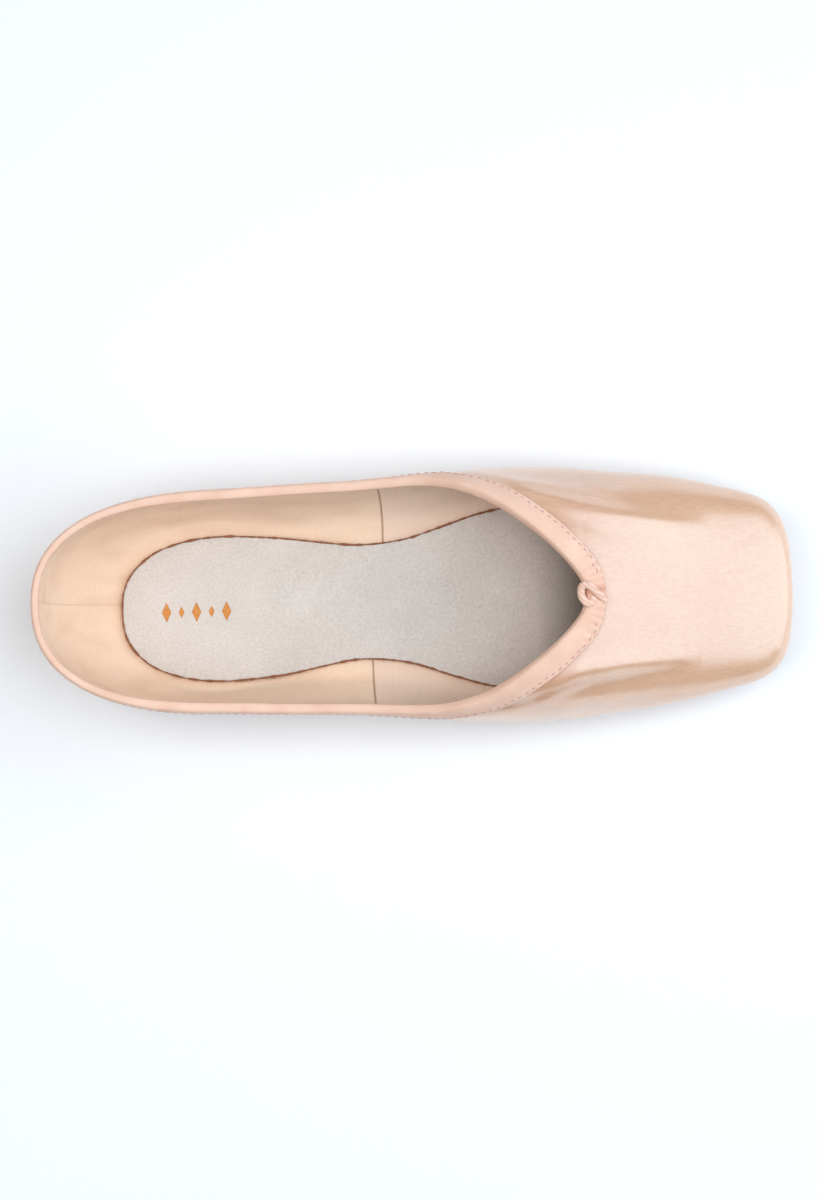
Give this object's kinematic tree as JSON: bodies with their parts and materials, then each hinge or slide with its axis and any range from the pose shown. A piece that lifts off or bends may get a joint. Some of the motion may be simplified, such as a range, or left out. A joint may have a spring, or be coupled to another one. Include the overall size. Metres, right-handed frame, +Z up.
{
  "type": "pointe shoe",
  "caption": "Satin pointe shoe with a stiff box and flat platform at the toe, a bound collar with a drawstring, a suede insole and a leather outsole.",
  "frame": {"origin": "on the floor, under the middle of the shoe's length, width and height box", "axes": "+X from the heel to the platform, +Z up, +Y to the left of a dancer who wears it"},
  "size_m": [0.239, 0.082, 0.0557],
  "materials": {
    "satin": "peach satin outside, cotton canvas lining inside",
    "binding": "matt cotton tape",
    "insole": "pale grey brushed suede",
    "outsole": "natural sole leather",
    "drawstring": "cotton cord"
  },
  "bodies": {
    "root": {"upper": "satin", "binding": "binding", "insole": "insole", "outsole": "outsole", "drawstring_knot": "drawstring"}
  },
  "joints": []
}
